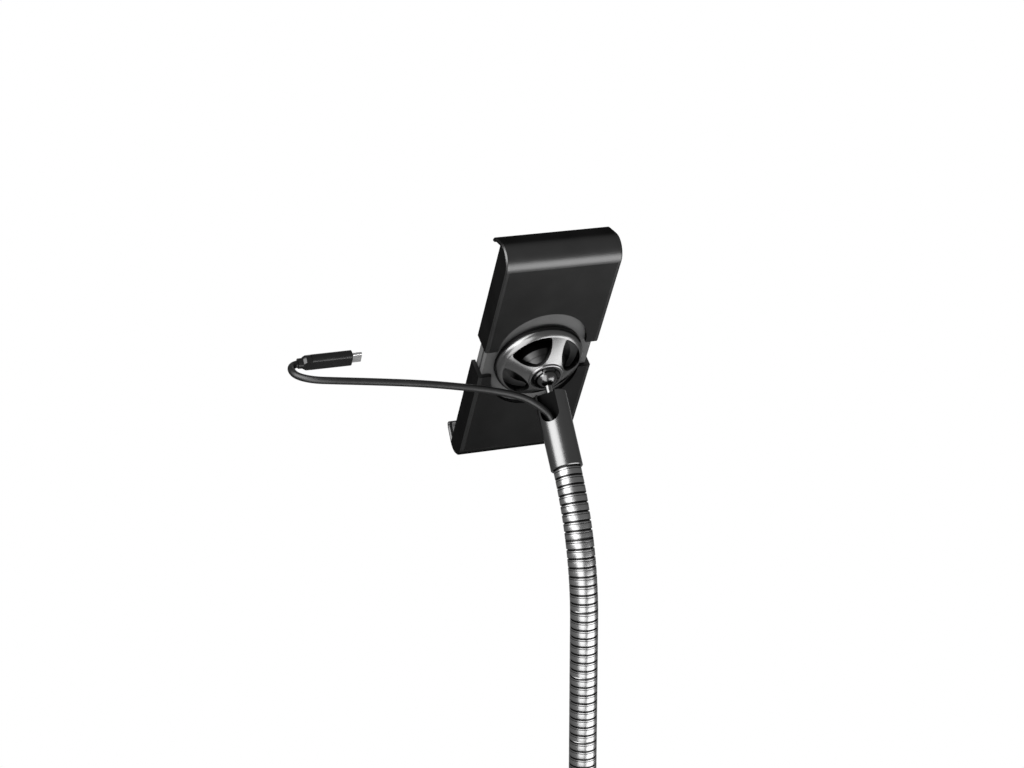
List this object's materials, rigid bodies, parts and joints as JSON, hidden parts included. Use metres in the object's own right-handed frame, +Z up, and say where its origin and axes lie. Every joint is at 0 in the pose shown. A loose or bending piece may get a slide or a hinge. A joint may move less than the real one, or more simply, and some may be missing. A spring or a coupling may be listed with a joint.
{
  "type": "tablet floor stand",
  "caption": "Adjustable floor stand for a tablet: round weighted base, telescopic mast with lever clamp, bendable gooseneck, ball joint with hand wheel and sprung two-jaw clamp, charging lead.",
  "frame": {"origin": "on the floor under the middle of the mast, at the underside of the base's mat", "axes": "+Z up the mast, -Y towards the person who uses the tablet, +X to that person's right, where the lead's plug goes into the tablet's short side"},
  "size_m": [0.3143, 0.2981, 1.3346],
  "materials": {
    "black_rubber": "matt black soft rubber with a fine dull grain",
    "black_powder_coat": "fine textured black powder coat on steel plate",
    "black_tube_coat": "smooth satin black coat on drawn steel tube",
    "zinc_steel": "bright zinc-plated steel, as on small screws and springs",
    "black_plastic": "moulded black plastic with a fine spark texture",
    "black_neck_steel": "glossy black-nickel plated ribbed neck",
    "black_chrome": "black chrome with long soft highlights",
    "ball_steel_black": "polished black-oxide steel",
    "stud_steel": "bright turned steel",
    "liner_nylon": "dark grey nylon, slightly waxy",
    "grey_plastic": "mid-grey metallic moulded plastic",
    "gloss_black_plastic": "high-gloss black moulded plastic",
    "satin_black_plastic": "satin black coated plastic with soft highlights",
    "dark_panel": "very dark grey matt panel, slightly greenish",
    "plug_plastic": "satin black moulded plug plastic",
    "plug_metal": "dark satin nickel"
  },
  "bodies": {
    "base": {"base_floor_mat": "black_rubber", "base_plate": "black_powder_coat", "base_bolt": "zinc_steel", "foot_plug": "black_plastic", "post_foot_cover": "black_plastic", "cable_outlet_grommet": "black_rubber", "outer_tube": "black_tube_coat", "outer_tube_bush": "black_plastic", "clamp_collar": "black_plastic", "clamp_bolt": "zinc_steel", "lever_pin": "zinc_steel"},
    "clamp_lever": {"clamp_lever": "black_plastic"},
    "mast": {"inner_tube": "black_tube_coat", "inner_tube_guide": "black_plastic", "mast_ferrule": "black_chrome", "mast_ferrule_screw": "zinc_steel", "neck_link_1": "black_neck_steel"},
    "neck_2": {"neck_link_2": "black_neck_steel"},
    "neck_3": {"neck_link_3": "black_neck_steel"},
    "neck_4": {"neck_link_4": "black_neck_steel"},
    "neck_5": {"neck_link_5": "black_neck_steel"},
    "neck_6": {"neck_link_6": "black_neck_steel"},
    "neck_7": {"neck_link_7": "black_neck_steel"},
    "neck_top": {"neck_link_8": "black_neck_steel", "sleeve": "black_chrome", "sleeve_insert": "black_plastic", "sleeve_screw": "zinc_steel", "ball_stud": "stud_steel", "ball": "ball_steel_black", "lead_gland": "black_rubber", "charging_lead": "black_rubber", "plug_strain_relief": "plug_plastic", "plug_collar": "plug_metal", "plug_body": "plug_plastic", "plug_tip": "plug_metal"},
    "ball_liner": {"ball_liner": "liner_nylon"},
    "collet": {"clamp_collet": "black_plastic"},
    "carriage": {"carriage_boss": "grey_plastic", "boss_screws": "zinc_steel", "carriage_body": "grey_plastic", "carriage_cover": "grey_plastic", "carriage_cover_screws": "zinc_steel", "carriage_pad": "black_rubber", "upper_jaw_spring": "zinc_steel", "lower_jaw_spring": "zinc_steel"},
    "lock_wheel": {"lock_wheel": "gloss_black_plastic"},
    "upper_jaw": {"upper_jaw": "satin_black_plastic", "upper_jaw_panel": "dark_panel", "upper_jaw_front_plate": "satin_black_plastic", "upper_jaw_screws": "zinc_steel", "upper_hook_liner": "black_rubber"},
    "lower_jaw": {"lower_jaw": "satin_black_plastic", "lower_jaw_panel": "dark_panel", "lower_jaw_front_plate": "satin_black_plastic", "lower_jaw_screws": "zinc_steel", "lower_hook_liner": "black_rubber"}
  },
  "joints": [
    {"name": "height_lever", "type": "hinge", "parent": "base", "child": "clamp_lever", "pos_m": [0.026, 0.0157, 0.549], "axis": [0, 0, -1], "range_deg": [0, 110]},
    {"name": "height_slide", "type": "slide", "parent": "base", "child": "mast", "axis": [0, 0, 1], "range_m": [-0.205, 0.235]},
    {"name": "neck_bend", "type": "hinge", "parent": "mast", "child": "neck_2", "pos_m": [0, 0, 0.85808], "axis": [1, 0, 0], "range_deg": [-15, 15]},
    {"name": "neck_sway", "type": "hinge", "parent": "neck_2", "child": "neck_3", "pos_m": [0, 0, 0.90453], "axis": [0, 1, 0], "range_deg": [-15, 15]},
    {"name": "neck_bend_2", "type": "hinge", "parent": "neck_3", "child": "neck_4", "pos_m": [0, 0, 0.95099], "axis": [1, 0, 0], "range_deg": [-15, 15]},
    {"name": "neck_sway_2", "type": "hinge", "parent": "neck_4", "child": "neck_5", "pos_m": [0, 0, 0.99745], "axis": [0, 1, 0], "range_deg": [-15, 15]},
    {"name": "neck_bend_3", "type": "hinge", "parent": "neck_5", "child": "neck_6", "pos_m": [0, 0, 1.0439], "axis": [1, 0, 0], "range_deg": [-15, 15]},
    {"name": "neck_sway_3", "type": "hinge", "parent": "neck_6", "child": "neck_7", "pos_m": [0, 0.00006, 1.09036], "axis": [0, 0.9985, 0.0546], "range_deg": [-15, 15]},
    {"name": "neck_bend_4", "type": "hinge", "parent": "neck_7", "child": "neck_top", "pos_m": [0, -0.00761, 1.13604], "axis": [1, 0, 0], "range_deg": [-15, 15]},
    {"name": "head_tilt", "type": "hinge", "parent": "neck_top", "child": "ball_liner", "pos_m": [0, -0.06973, 1.23419], "axis": [1, 0, 0], "range_deg": [-60, 18]},
    {"name": "head_lean", "type": "hinge", "parent": "ball_liner", "child": "collet", "pos_m": [0, -0.06973, 1.23419], "axis": [0, 0.5105, 0.8599], "range_deg": [-16, 16]},
    {"name": "head_turn", "type": "hinge", "parent": "collet", "child": "carriage", "pos_m": [0, -0.06973, 1.23419], "axis": [0, 0.8599, -0.5105], "continuous": true},
    {"name": "wheel_turn", "type": "hinge", "parent": "carriage", "child": "lock_wheel", "pos_m": [0, -0.06973, 1.23419], "axis": [0, 0.8599, -0.5105], "continuous": true},
    {"name": "upper_jaw_slide", "type": "slide", "parent": "carriage", "child": "upper_jaw", "axis": [0, 0.5105, 0.8599], "range_m": [-0.0115, 0.02], "stiffness_N_per_m": 150, "springref_m": -0.06, "deforming": ["upper_jaw_spring"]},
    {"name": "lower_jaw_slide", "type": "slide", "parent": "carriage", "child": "lower_jaw", "axis": [0, -0.5105, -0.8599], "range_m": [-0.0115, 0.02], "stiffness_N_per_m": 150, "springref_m": -0.06, "deforming": ["lower_jaw_spring"]}
  ],
  "couplings": [
    {"joint": "neck_bend_2", "follows": "neck_bend", "ratio": 1},
    {"joint": "neck_bend_3", "follows": "neck_bend", "ratio": 1},
    {"joint": "neck_bend_4", "follows": "neck_bend", "ratio": 1},
    {"joint": "neck_sway_2", "follows": "neck_sway", "ratio": 1},
    {"joint": "neck_sway_3", "follows": "neck_sway", "ratio": 1}
  ]
}
